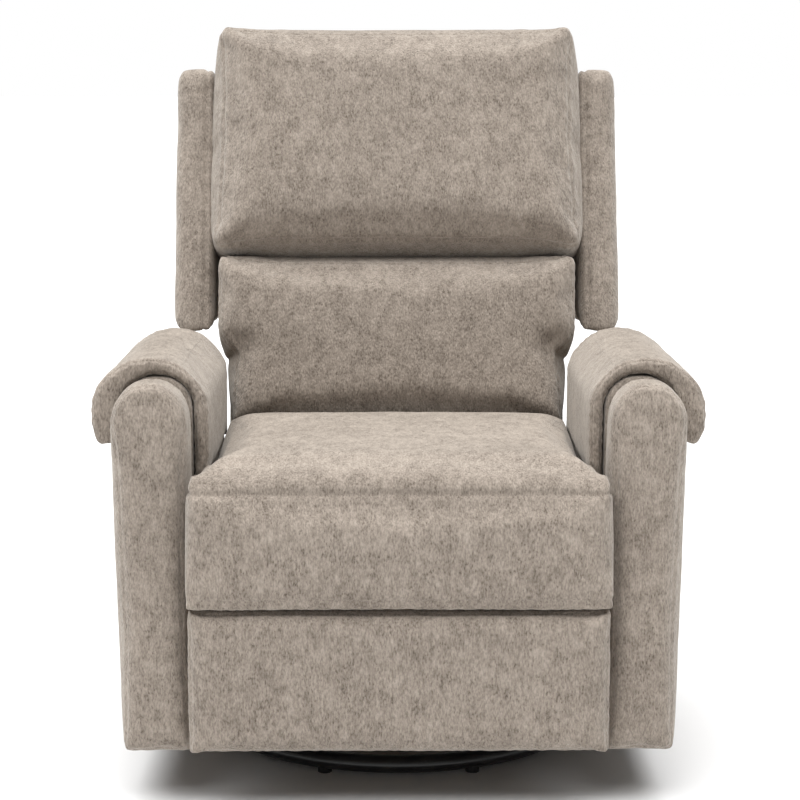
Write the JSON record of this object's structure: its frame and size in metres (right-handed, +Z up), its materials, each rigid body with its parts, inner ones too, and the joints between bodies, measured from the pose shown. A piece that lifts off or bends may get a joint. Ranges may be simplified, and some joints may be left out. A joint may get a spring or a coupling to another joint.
{
  "type": "swivel glider recliner chair",
  "caption": "Upholstered nursery chair that swivels on a round floor ring, glides on hanging links, reclines, and opens a footrest from under the seat.",
  "frame": {"origin": "on the floor, where the swivel axis meets it, under the middle of the upright closed chair", "axes": "+Z up along the swivel axis; the chair faces -Y; +X is to the right of someone looking at its front"},
  "size_m": [0.844, 0.874, 1.0708],
  "materials": {
    "chenille": "beige chenille",
    "black_steel": "satin black",
    "zinc_steel": "zinc plated",
    "frame_wood": "raw plywood",
    "black_plastic": "matte",
    "foot_rubber": "matte"
  },
  "bodies": {
    "base": {"base_ring": "black_steel", "base_spider": "black_steel", "base_feet": "foot_rubber", "swivel_lower_plate": "black_steel", "swivel_plate_bolts": "zinc_steel", "swivel_bearing": "black_plastic", "kingpin": "zinc_steel", "kingpin_nut": "zinc_steel", "kingpin_washer": "zinc_steel"},
    "swivel": {"swivel_upper_plate": "black_steel", "swivel_beams": "black_steel", "swivel_beam_bolts": "zinc_steel", "glide_stand_left": "black_steel", "glide_stand_right": "black_steel", "upper_link_pins": "zinc_steel"},
    "front_links": {"glide_link_front_left": "zinc_steel", "glide_link_front_right": "zinc_steel"},
    "rear_links": {"glide_link_rear_left": "zinc_steel", "glide_link_rear_right": "zinc_steel"},
    "seat_unit": {"chassis_rail_left": "black_steel", "chassis_rail_right": "black_steel", "chassis_tube_front": "black_steel", "chassis_tube_rear": "black_steel", "lower_link_pins": "zinc_steel", "back_pivot_pins": "zinc_steel", "seat_frame": "frame_wood", "seat_springs": "zinc_steel", "seat_cushion": "chenille", "arm_panel_left": "chenille", "arm_panel_right": "chenille", "arm_post_left": "chenille", "arm_post_right": "chenille", "arm_pad_left": "chenille", "arm_pad_right": "chenille", "rear_apron": "chenille", "latch_bezel": "black_plastic", "latch_pin": "zinc_steel"},
    "footrest_arms": {"footrest_drive_tube": "black_steel", "footrest_arm_left": "zinc_steel", "footrest_arm_right": "zinc_steel", "footrest_knee_pins": "zinc_steel"},
    "footrest_links": {"footrest_link_left": "zinc_steel", "footrest_link_right": "zinc_steel"},
    "footrest": {"footrest_bracket_left": "zinc_steel", "footrest_bracket_right": "zinc_steel", "footrest_panel_pins": "zinc_steel", "footrest_board": "frame_wood", "footrest_screws": "zinc_steel", "footrest_pad": "chenille"},
    "back": {"back_bracket_left": "black_steel", "back_bracket_right": "black_steel", "back_frame": "frame_wood", "back_springs": "zinc_steel", "back_shell": "chenille", "back_wing_left": "chenille", "back_wing_right": "chenille", "head_cushion": "chenille", "lumbar_cushion": "chenille"},
    "latch": {"latch_paddle": "black_plastic"}
  },
  "joints": [
    {"name": "swivel_turn", "type": "hinge", "parent": "base", "child": "swivel", "pos_m": [0, 0, 0.036], "axis": [0, 0, 1], "continuous": true},
    {"name": "glide", "type": "hinge", "parent": "swivel", "child": "front_links", "pos_m": [0, -0.11, 0.19], "axis": [1, 0, 0], "range_deg": [-22, 22]},
    {"name": "glide_seat", "type": "hinge", "parent": "front_links", "child": "seat_unit", "pos_m": [0, -0.11, 0.08], "axis": [1, 0, 0], "range_deg": [-22, 22]},
    {"name": "glide_rear", "type": "hinge", "parent": "swivel", "child": "rear_links", "pos_m": [0, 0.11, 0.19], "axis": [1, 0, 0], "range_deg": [-22, 22]},
    {"name": "footrest_open", "type": "hinge", "parent": "seat_unit", "child": "footrest_arms", "pos_m": [0, -0.255, 0.205], "axis": [-1, 0, 0], "range_deg": [0, 110]},
    {"name": "footrest_knee", "type": "hinge", "parent": "footrest_arms", "child": "footrest_links", "pos_m": [0, -0.2037, 0.06405], "axis": [-1, 0, 0], "range_deg": [-124.7, 0]},
    {"name": "footrest_tilt", "type": "hinge", "parent": "footrest_links", "child": "footrest", "pos_m": [0, -0.368, 0.215], "axis": [-1, 0, 0], "range_deg": [0, 104.7]},
    {"name": "back_recline", "type": "hinge", "parent": "seat_unit", "child": "back", "pos_m": [0, 0.165, 0.3], "axis": [-1, 0, 0], "range_deg": [0, 38]},
    {"name": "latch_pull", "type": "hinge", "parent": "seat_unit", "child": "latch", "pos_m": [-0.374, -0.13, 0.388], "axis": [0, 1, 0], "range_deg": [0, 25], "stiffness_Nm_per_rad": 0.5, "springref_deg": -17.19}
  ],
  "couplings": [
    {"joint": "glide_seat", "follows": "glide", "ratio": -1},
    {"joint": "glide_rear", "follows": "glide", "ratio": 1},
    {"joint": "footrest_knee", "follows": "footrest_open", "ratio": -1.1327},
    {"joint": "footrest_tilt", "follows": "footrest_open", "ratio": 0.95091}
  ]
}
